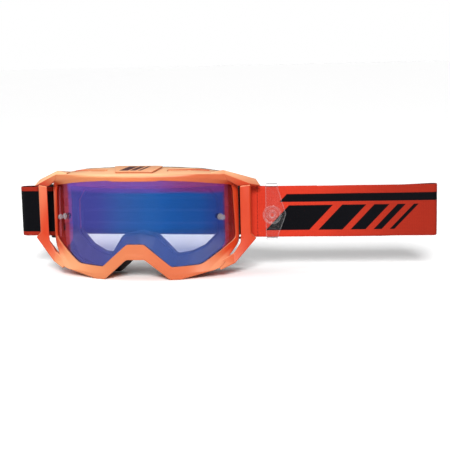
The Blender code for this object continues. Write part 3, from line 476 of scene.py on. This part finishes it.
def foam_material(name, cell, dark, light, depth):
    """Open-cell foam: pores in the surface, with a paler web between them."""
    g = Graph(name)
    web = g.span(g.cells(1.0 / cell), 0.15, 0.62)
    broad = g.span(g.cells(0.37 / cell), 0.1, 0.6)
    height = g.math("ADD", g.math("MULTIPLY", web, 0.7), g.math("MULTIPLY", broad, 0.3))
    cloud = g.span(g.noise(45.0, 4.0, 0.6), 0.3, 0.75)
    g.set(Base_Color=g.mix(g.math("MULTIPLY", height, cloud), dark, light))
    g.set(Roughness=g.span(cloud, 0.0, 1.0, 0.82, 0.95), Specular_IOR_Level=0.2)
    g.set(Sheen_Weight=0.25, Sheen_Roughness=0.5)
    g.set(Normal=g.bump(height, depth, 0.9))
    return g.material


def fleece_material():
    """Brushed facing fabric: short matted pile with a soft sheen."""
    g = Graph("fleece_black")
    pile = g.noise(1300.0, 5.0, 0.75)
    clump = g.noise(240.0, 4.0, 0.7)
    height = g.math("ADD", g.math("MULTIPLY", pile, 0.5), clump)
    g.set(Base_Color=g.mix(g.span(height, 0.5, 1.0), (0.006, 0.006, 0.007), (0.035, 0.035, 0.04)))
    g.set(Roughness=0.95, Specular_IOR_Level=0.15, Sheen_Weight=0.6, Sheen_Roughness=0.35)
    g.set(Normal=g.bump(height, 0.0004, 0.9))
    return g.material


# ------------------------------------------------------------------ meshes from CAD nodes


def link(name, mesh):
    obj = bpy.data.objects.new(name, mesh)
    SCENE.collection.objects.link(obj)
    return obj


def clean_copy(node, name, join=2e-6):
    """A new piece with the CAD node's shape, its corners joined and no stored normals."""
    shape = bmesh.new()
    shape.from_mesh(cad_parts[node].data)
    bmesh.ops.remove_doubles(shape, verts=shape.verts, dist=join)
    shape.verts.index_update()
    points = [v.co.copy() for v in shape.verts]
    faces = [[v.index for v in face.verts] for face in shape.faces]
    shape.free()
    mesh = bpy.data.meshes.new(name)
    mesh.from_pydata(points, [], faces)
    mesh.validate()
    return link(name, mesh)


def smooth(obj, degrees=32.0):
    obj.data.shade_smooth()
    obj.data.set_sharp_from_angle(angle=math.radians(degrees))


def applied(obj):
    """Replaces the piece's mesh by what its modifiers make of it."""
    graph = bpy.context.evaluated_depsgraph_get()
    mesh = bpy.data.meshes.new_from_object(obj.evaluated_get(graph))
    obj.modifiers.clear()
    obj.data = mesh
    return obj


def finish_piece(obj, material, body="goggles", replaced=()):
    if material is not None:
        obj.data.materials.clear()
        obj.data.materials.append(material)
    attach(obj, body)
    if replaced:
        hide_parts(*replaced)
    return obj


def hard_piece(node, material, body="goggles", degrees=32.0):
    obj = clean_copy(node, node + "_finished")
    smooth(obj, degrees)
    return finish_piece(obj, material, body, [node])


def points_of(obj):
    found = np.empty(len(obj.data.vertices) * 3, np.float32)
    obj.data.vertices.foreach_get("co", found)
    return found.reshape(-1, 3).astype(float)


def put_points(obj, points):
    obj.data.vertices.foreach_set("co", points.astype(np.float32).ravel())
    obj.data.update()


def swollen(obj, cap, pressure=4.0):
    """A short cloth run with air pressure inside, moving no point further than cap."""
    before = points_of(obj)
    cloth = obj.modifiers.new("Cloth", "CLOTH")
    cloth.settings.use_pressure = True
    cloth.settings.uniform_pressure_force = pressure
    cloth.settings.quality = 4
    cloth.settings.mass = 0.15
    cloth.settings.effector_weights.gravity = 0.0
    cloth.collision_settings.use_collision = False
    cloth.point_cache.frame_start = 1
    cloth.point_cache.frame_end = 20
    for step in range(1, SWELL_FRAMES + 1):
        SCENE.frame_set(step)
    graph = bpy.context.evaluated_depsgraph_get()
    mesh = bpy.data.meshes.new_from_object(obj.evaluated_get(graph))
    after = np.empty(len(mesh.vertices) * 3, np.float32)
    mesh.vertices.foreach_get("co", after)
    moved = after.reshape(-1, 3) - before
    length = np.linalg.norm(moved, axis=1, keepdims=True)
    moved *= np.minimum(1.0, cap / np.maximum(length, 1e-9))
    obj.modifiers.clear()
    bpy.data.meshes.remove(mesh)
    put_points(obj, before + moved)
    SCENE.frame_set(1)


def soft_piece(node, material, voxel, cap, shrink=0.0, lumps=0.0):
    """A foam piece: the CAD solid remeshed fine, swollen a little, then smoothed and lumpy."""
    obj = clean_copy(node, node + "_foam")
    remesh = obj.modifiers.new("Remesh", "REMESH")
    remesh.mode = "VOXEL"
    remesh.voxel_size = voxel
    applied(obj)
    ease = obj.modifiers.new("Ease", "SMOOTH")
    ease.factor = 0.6
    ease.iterations = 4
    applied(obj)
    if shrink:
        normals = np.array([v.normal for v in obj.data.vertices])
        put_points(obj, points_of(obj) - normals * shrink)
    if cap:
        swollen(obj, cap)
    if lumps:
        spots = points_of(obj)
        normals = np.array([v.normal for v in obj.data.vertices])
        wave = sum(np.sin(spots @ np.array(way) + phase) for way, phase in LUMP_WAVES)
        put_points(obj, spots + normals * (wave[:, None] * lumps / len(LUMP_WAVES)))
    obj.data.shade_smooth()
    finish_piece(obj, material, replaced=[node])
    return obj


# ------------------------------------------------------------------ the strap


def on_right_run(along, back):
    cos, sin = math.cos(STRAP_SWEEP), math.sin(STRAP_SWEEP)
    return (ANCHOR_X + along * cos - back * sin, STRAP_FRONT_Y + along * sin + back * cos)


def arc(centre, radius, start, end, steps):
    angles = [math.radians(start + (end - start) * k / steps) for k in range(steps + 1)]
    return [(centre[0] + radius * math.cos(a), centre[1] + radius * math.sin(a)) for a in angles]


def strap_route():
    """(x, y, height shift, landmark or None) along the middle of the webbing, right end first."""
    wrap = ANCHOR_Y - STRAP_FRONT_Y
    sweep = math.degrees(STRAP_SWEEP)
    fold = STRAP_RETURN_STEP / 2
    run = (STRAP_RIGHT - ANCHOR_X - STRAP_THICKNESS / 2) / math.cos(STRAP_SWEEP) - fold
    route = []

    def add(points, low, high=None, mark=None):
        high = low if high is None else high
        last = max(len(points) - 1, 1)
        for k, (x, y) in enumerate(points):
            route.append((x, y, low + (high - low) * k / last, mark if k == 0 else None))

    add([on_right_run(STRAP_TAILS[1], STRAP_TAIL_STEP)], 0.0)
    add([on_right_run(7.0, STRAP_TAIL_STEP)], 0.0)
    add(arc((ANCHOR_X, ANCHOR_Y), wrap, 80, 270, 16), 0.0)
    add([on_right_run(6.0, 0.0)], 0.0, mark="right_run")
    add([on_right_run(40.0, 0.0)], 0.0)
    centre = on_right_run(run, fold)
    add(arc(centre, fold, sweep - 90, sweep + 90, 16), STRAP_LIFT, mark="right_fold")
    add([on_right_run(118.0, STRAP_RETURN_STEP)], STRAP_SAG * 0.8, mark="return_run")
    add([on_right_run(28.0, STRAP_RETURN_STEP)], STRAP_SAG)
    add([(STRAP_REAR_X + 8, STRAP_REAR_Y - 3.6), (STRAP_REAR_X, STRAP_REAR_Y - 0.4)], STRAP_SAG)
    add([(STRAP_REAR_X - 8, STRAP_REAR_Y)], STRAP_SAG, mark="rear_run")
    fold = (STRAP_REAR_Y - STRAP_FRONT_Y) / 2
    centre = (STRAP_LEFT + STRAP_THICKNESS / 2 + fold, STRAP_FRONT_Y + fold)
    add(arc(centre, fold, 90, 270, 24), STRAP_SAG, 0.0, mark="left_fold")
    add(arc((-ANCHOR_X, ANCHOR_Y), wrap, -90, 100, 16), 0.0, mark="left_anchor")
    tail = STRAP_FRONT_Y + STRAP_TAIL_STEP
    add([(-ANCHOR_X - 6, tail), (-ANCHOR_X - STRAP_TAILS[0], tail)], 0.0)
    return route


def resampled(route, step):
    """Points about a step apart, how far along each landmark is, and the whole length."""
    spots, marks, total = [], {}, 0.0
    for (x0, y0, h0, mark), (x1, y1, h1, _) in zip(route, route[1:]):
        length = math.hypot(x1 - x0, y1 - y0)
        if mark:
            marks[mark] = total
        pieces = max(1, round(length / step))
        for k in range(pieces):
            t = k / pieces
            x, y, shift = (a + (b - a) * t for a, b in ((x0, x1), (y0, y1), (h0, h1)))
            spots.append((x, y, shift, total + length * t))
        total += length
    spots.append((route[-1][0], route[-1][1], route[-1][2], total))
    return spots, marks, total


def strap_profile():
    """(outward, height share, height offset) round the webbing, its edges rounded."""
    half = STRAP_THICKNESS / 2
    round_edge = np.radians((15, 45, 75, 105, 135, 165))
    rows = [(half, share, 0.0) for share in np.linspace(0.04, 0.96, 24)]
    rows += [(half * math.cos(a), 1.0, half * (math.sin(a) - 1)) for a in round_edge]
    rows += [(-half, share, 0.0) for share in np.linspace(0.96, 0.04, 24)]
    rows += [(-half * math.cos(a), 0.0, half * (1 - math.sin(a))) for a in round_edge]
    return rows


def tube_faces(first, around, rings):
    """The faces of a tube from this point on: quads between its rings and a cap at each end."""
    faces = []
    for a in range(first, first + (rings - 1) * around, around):
        b = a + around
        for k in range(around):
            after = (k + 1) % around
            faces.append((a + k, a + after, b + after, b + k))
    last = first + (rings - 1) * around
    faces.append(tuple(range(first, first + around))[::-1])
    faces.append(tuple(range(last, last + around)))
    return faces


def closed_piece(name, points, faces):
    mesh = bpy.data.meshes.new(name)
    mesh.from_pydata(points, [], faces)
    shape = bmesh.new()
    shape.from_mesh(mesh)
    bmesh.ops.recalc_face_normals(shape, faces=shape.faces)
    shape.to_mesh(mesh)
    shape.free()
    return link(name, mesh)


def make_strap():
    """The webbing as one closed band along its route, and the length of its middle."""
    spots, marks, total = resampled(strap_route(), 1.8)
    plan = np.array([(x, y) for x, y, _, _ in spots])
    ways = np.gradient(plan, axis=0)
    ways /= np.linalg.norm(ways, axis=1, keepdims=True)
    outward = np.stack([ways[:, 1], -ways[:, 0]], axis=1)
    profile = strap_profile()
    points, places = [], []
    for (x, y, shift, along), out in zip(spots, outward):
        for side, share, offset in profile:
            z = STRAP_BOTTOM + shift + share * STRAP_WIDTH + offset
            # The edges wave in and out, and the width wanders, as worn elastic does.
            ripple = 0.10 * math.sin(along * 0.21 + share * 2.0) * (abs(share - 0.5) * 2) ** 2
            z += 0.12 * math.sin(along * 0.083 + 0.7) * (share - 0.5)
            points.append(at(x + out[0] * (side + ripple), y + out[1] * (side + ripple), z))
            places.append((along, share * STRAP_WIDTH + offset, side))
    obj = closed_piece("strap_webbing", points, tube_faces(0, len(profile), len(spots)))
    place = obj.data.attributes.new("place", "FLOAT_VECTOR", "POINT")
    place.data.foreach_set("vector", np.array(places, np.float32).ravel())
    smooth(obj, 50.0)
    finish_piece(obj, webbing_material(marks), replaced=["strap"])
    return obj, total


def stitch_rows():
    """(x, y, outward x, outward y) of each row of stitches, on both faces of the sewn ends."""
    half = STRAP_THICKNESS / 2
    rear = STRAP_TAIL_STEP + half
    cos, sin = math.cos(STRAP_SWEEP), math.sin(STRAP_SWEEP)
    rows = []
    for along in STITCH_ROWS_RIGHT:
        rows.append((*on_right_run(along, rear), -sin, cos))
    rows.append((*on_right_run(STITCH_ROWS_RIGHT[0], -half), sin, -cos))
    for along in STITCH_ROWS_LEFT:
        rows.append((-ANCHOR_X - along, STRAP_FRONT_Y - half, 0.0, -1.0))
        rows.append((-ANCHOR_X - along, STRAP_FRONT_Y + rear, 0.0, 1.0))
    return rows


def make_stitches():
    """Short upright threads that stand a little proud of the webbing they hold together."""
    points, faces = [], []
    for row, (x, y, out_x, out_y) in enumerate(stitch_rows()):
        for k in range(STITCHES):
            middle = STRAP_BOTTOM + STRAP_WIDTH * (k + 0.5) / STITCHES
            middle += 0.12 * math.sin(2.3 * k + row)
            first = len(points)
            for share, thick in THREAD_RINGS:
                z = middle + share * STITCH_LENGTH
                lift = STITCH_RADIUS * (thick - 0.75)
                for n in range(THREAD_SIDES):
                    angle = 2 * math.pi * n / THREAD_SIDES
                    wide = STITCH_RADIUS * thick * math.cos(angle)
                    deep = lift + STITCH_RADIUS * thick * math.sin(angle)
                    aside = (out_x * deep - out_y * wide, out_y * deep + out_x * wide)
                    points.append(at(x + aside[0], y + aside[1], z))
            faces += tube_faces(first, THREAD_SIDES, len(THREAD_RINGS))
    obj = closed_piece("strap_stitches", points, faces)
    smooth(obj, 60.0)
    finish_piece(obj, thread_material())
    return obj


def thread_material():
    """Twisted polyester thread."""
    g = Graph("thread_red")
    twist = g.noise(2600.0, 2.0, 0.5, g.scaled((1.0, 1.0, 0.35)))
    g.set(Base_Color=g.mix(g.span(twist, 0.3, 0.7), (0.10, 0.004, 0.003), (0.2, 0.009, 0.006)))
    g.set(Roughness=g.span(twist, 0.3, 0.7, 0.5, 0.7), Specular_IOR_Level=0.2)
    g.set(Normal=g.bump(twist, 0.0001, 0.7))
    return g.material


def block_mask(g, u, v, box, slope):
    """1 inside a block of the strap's print; its ends lean by slope."""
    start, end, low, high = box
    lean = g.math("SUBTRACT", u, g.math("MULTIPLY", g.math("SUBTRACT", v, low), slope))
    soft = 0.25
    inside = g.span(v, low - soft, low + soft)
    for value, edge, way in ((v, high, -1), (lean, start, 1), (lean, end, -1)):
        inside = g.math("MULTIPLY", inside, g.span(value, edge - way * soft, edge + way * soft))
    return inside


def webbing_material(marks):
    """Woven elastic: ribs along it and yarns across, printed black on the outer face."""
    g = Graph("webbing_red")
    place = g.node("Attribute", attribute_name="place").outputs["Vector"]
    u, v, side = g.split(place)
    start = marks["right_run"] - 6.0
    fold = marks["right_fold"]
    stripe = (start + STRAP_STRIPE_START, fold + 26.0, STRAP_STRIPE_LOW, STRAP_STRIPE_HIGH)
    black = block_mask(g, u, v, stripe, STRAP_SLANT)
    for first, last in STRAP_BARS:
        bar = (start + first, start + last, STRAP_BAR_LOW, STRAP_BAR_HIGH)
        black = g.math("MAXIMUM", black, block_mask(g, u, v, bar, STRAP_SLANT))
    block_end = marks["left_anchor"] + STRAP_BLOCK_END
    rear = (fold + STRAP_BLOCK_START, block_end, STRAP_BLOCK_LOW, STRAP_BLOCK_HIGH)
    black = g.math("MAXIMUM", black, block_mask(g, u, v, rear, STRAP_BLOCK_SLANT))
    black = g.math("MAXIMUM", black, g.span(side, -0.4, -0.62))
    rib = g.math("SINE", g.math("MULTIPLY", v, 2 * math.pi / 1.25))
    bent = g.math("ADD", g.math("MULTIPLY", u, 2 * math.pi / 1.5), g.math("MULTIPLY", rib, 1.2))
    yarn = g.math("SINE", bent)
    weave = g.math("MULTIPLY", g.math("ADD", rib, yarn), 0.25)
    fuzz = g.noise(900.0, 4.0, 0.7)
    cloud = g.noise(38.0, 4.0, 0.6)
    patchy = g.math("ADD", g.math("MULTIPLY", fuzz, 0.5), g.math("MULTIPLY", cloud, 0.6))
    tone = g.math("ADD", g.math("MULTIPLY", weave, 0.6), patchy)
    # Painted light and shade: the red is a little brighter than its own near the goggles and
    # darker along the right run, to about half of that from the right fold on.
    shade = g.span(u, start + 20.0, fold, 1.12, 0.58)
    red = g.mix(g.span(tone, 0.2, 0.95), STRAP_RED, STRAP_RED_LIGHT)
    red = g.mix(1.0, red, g.grey(shade), "MULTIPLY")
    dark = g.mix(g.span(tone, 0.2, 0.95), (0.0006, 0.0006, 0.0015), (0.003, 0.003, 0.005))
    g.set(Base_Color=g.mix(black, red, dark))
    g.set(Roughness=g.span(tone, 0.2, 1.0, 0.62, 0.82), Specular_IOR_Level=0.07)
    g.set(Sheen_Weight=0.01, Sheen_Roughness=0.4)
    g.set(Normal=g.bump(g.math("ADD", weave, g.math("MULTIPLY", fuzz, 0.3)), 0.00022, 0.6))
    return g.material


# ------------------------------------------------------------------ camera, floor, light


def make_camera():
    yaw, pitch, roll = (math.radians(a) for a in (CAMERA_YAW, CAMERA_PITCH, CAMERA_ROLL))
    centre = (CAD_BOX[0] + CAD_BOX[1]) / 2 + Vector(CAMERA_AIM) * MM
    turn = Matrix.Rotation(yaw, 4, "Z") @ Matrix.Rotation(math.radians(90) - pitch, 4, "X")
    turn = turn @ Matrix.Rotation(roll, 4, "Z")
    camera = bpy.data.objects.new("camera", bpy.data.cameras.new("camera"))
    SCENE.collection.objects.link(camera)
    back = Matrix.Translation((0, 0, CAMERA_DISTANCE * MM))
    camera.matrix_world = Matrix.Translation(centre) @ turn @ back
    camera.data.lens = CAMERA_LENS
    camera.data.sensor_width = 36.0
    camera.data.clip_start = 0.01
    SCENE.camera = camera


def floor_material():
    g = Graph("floor_white")
    seen = g.node("LightPath").outputs["Is Camera Ray"]
    pale = g.mix(g.noise(3.0), (0.90, 0.90, 0.90), (0.93, 0.93, 0.93))
    g.set(Base_Color=g.mix(seen, pale, FLOOR_SEEN))
    g.set(Roughness=0.8, Specular_IOR_Level=0.1)
    return g.material


def make_floor():
    """A plain pale floor, large enough to meet the white surroundings at the horizon."""
    half = FLOOR_HALF
    mesh = bpy.data.meshes.new("floor")
    corners = [(-half, -half, 0.0), (half, -half, 0.0), (half, half, 0.0), (-half, half, 0.0)]
    mesh.from_pydata(corners, [], [(0, 1, 2, 3)])
    floor = link("floor", mesh)
    floor.data.materials.append(floor_material())


def pointed(name, light, place, aim):
    obj = bpy.data.objects.new(name, light)
    SCENE.collection.objects.link(obj)
    obj.location = place
    obj.rotation_mode = "QUATERNION"
    obj.rotation_quaternion = (Vector(aim) - Vector(place)).to_track_quat("-Z", "Y")


def make_world():
    """Soft light that grows towards the top, as under a large diffuser; white where it is seen."""
    world = bpy.data.worlds.new("studio")
    world.use_nodes = True
    SCENE.world = world
    tree = world.node_tree
    add = tree.nodes.new
    up = add("ShaderNodeSeparateXYZ")
    tree.links.new(add("ShaderNodeTexCoord").outputs["Generated"], up.inputs[0])
    rise = add("ShaderNodeMapRange")
    tree.links.new(up.outputs["Z"], rise.inputs["Value"])
    rise.inputs["To Min"].default_value = WORLD_LOW
    rise.inputs["To Max"].default_value = WORLD_HIGH
    seen = add("ShaderNodeMix")
    tree.links.new(add("ShaderNodeLightPath").outputs["Is Camera Ray"], seen.inputs[0])
    tree.links.new(rise.outputs[0], seen.inputs[2])
    seen.inputs[3].default_value = 1.0
    tree.links.new(seen.outputs[0], tree.nodes["Background"].inputs["Strength"])
    tree.nodes["Background"].inputs["Color"].default_value = (1.0, 1.0, 1.0, 1.0)


def make_light():
    make_world()
    SCENE.view_settings.view_transform = "Standard"
    key = bpy.data.lights.new("key", "SUN")
    key.energy = KEY_POWER
    key.angle = math.radians(KEY_SPREAD)
    elevation, azimuth = math.radians(KEY_ELEVATION), math.radians(KEY_AZIMUTH)
    flat = math.cos(elevation)
    place = (flat * math.sin(azimuth), -flat * math.cos(azimuth), math.sin(elevation))
    pointed("key", key, place, (0, 0, 0))
    fill = bpy.data.lights.new("fill", "AREA")
    fill.shape = "RECTANGLE"
    fill.size = FILL_WIDE
    fill.size_y = FILL_HIGH
    fill.energy = FILL_POWER
    pointed("fill", fill, FILL_PLACE, FILL_AIM)


# ------------------------------------------------------------------ the object


def make_lens():
    """The lens in two materials: mirror film on the outer face, clear plastic elsewhere."""
    obj = clean_copy("lens", "lens_finished")
    obj.data.materials.append(lens_body_material())
    obj.data.materials.append(lens_coat_material())
    radius = LENS_RADIUS * MM
    axis_y = FRONT + radius
    for face in obj.data.polygons:
        away = Vector((face.center.x - MIDDLE, face.center.y - axis_y, 0.0))
        outer = away.length > radius - 0.2 * MM and face.normal.dot(away.normalized()) > 0.7
        face.material_index = 1 if outer else 0
    smooth(obj, 30.0)
    finish_piece(obj, None, replaced=["lens"])


def mark_seat(obj):
    """Gives the seat material to the frame's faces that have the lens in front of them."""
    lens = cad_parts["lens"].data
    sides = [face.vertices for face in lens.polygons]
    shell = BVHTree.FromPolygons([v.co for v in lens.vertices], sides)
    corners = obj.data.vertices
    axis_y = FRONT + LENS_RADIUS * MM
    for face in obj.data.polygons:
        spots = [face.center] + [face.center.lerp(corners[i].co, 0.7) for i in face.vertices]
        face.material_index = 0
        for spot in spots:
            out = spot.x - MIDDLE
            ways = [Vector((out, spot.y - axis_y, 0.0)).normalized()]
            if face.normal.x * out < 0.3 * abs(out):
                ways.append(Vector((0.0, -1.0, 0.0)))
            if any(shell.ray_cast(spot, way)[0] is not None for way in ways):
                face.material_index = 1


def make_goggles():
    frame_piece = hard_piece("frame", frame_material(), degrees=24.0)
    frame_piece.data.materials.append(seat_material())
    mark_seat(frame_piece)
    hard_piece("brow_badge", badge_material())
    make_lens()
    post = clear_material("post_clear", (0.62, 0.58, 0.62), 0.3, 0.4, 0.12)
    washer = rubber_material("washer_black", (0.01, 0.01, 0.01), (0.03, 0.03, 0.03))
    anchor = moulded_plastic("anchor_black", (0.010, 0.010, 0.011), (0.02, 0.02, 0.022), 0.45)
    grip = rubber_material("grip_silicone", (0.012, 0.003, 0.003), (0.03, 0.006, 0.005), 0.5)
    for side in ("left", "right"):
        hard_piece("tear_off_post_" + side, post)
        hard_piece("tear_off_washer_" + side, washer)
        hard_piece("strap_anchor_" + side, anchor)
    for number in (1, 2, 3):
        hard_piece(f"strap_grip_line_{number}", grip)


def make_foam():
    firm = foam_material(
        "foam_firm_black", 0.0007, (0.004, 0.004, 0.005), (0.028, 0.028, 0.032), 0.0003)
    soft = foam_material(
        "foam_soft_black", 0.0011, (0.003, 0.003, 0.004), (0.035, 0.035, 0.04), 0.0005)
    filters = foam_material("filter_foam_black", 0.0012, (0.002,) * 3, (0.03, 0.03, 0.033), 0.0006)
    layers = (
        ("foam_base", firm, "foam_firm", 0.0011, 0.0004),
        ("foam_middle", soft, "foam_soft", 0.0011, 0.0006),
        ("foam_face_fleece", fleece_material(), "fleece", 0.0009, 0.0006),
    )
    for node, material, slot, voxel, cap in layers:
        soft_piece(node, material, voxel, cap, 0.0002, 0.00015)
    blocks = [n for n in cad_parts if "filter" in n]
    for node in sorted(blocks):
        soft_piece(node, filters, 0.0009, 0.0, 0.0, 0.0001)


def make_adjuster():
    clear = clear_material("adjuster_clear", CLEAR, 0.02, 0.42, caps=0.75)
    button = clear_material("button_clear", CLEAR, 0.02, 0.4)
    hard_piece("strap_adjuster", clear, "adjuster")
    hard_piece("adjuster_button", button, "adjuster", 40.0)


make_camera()
make_floor()
make_light()
make_goggles()
make_foam()
make_adjuster()
strap, strap_length = make_strap()
stitches = make_stitches()
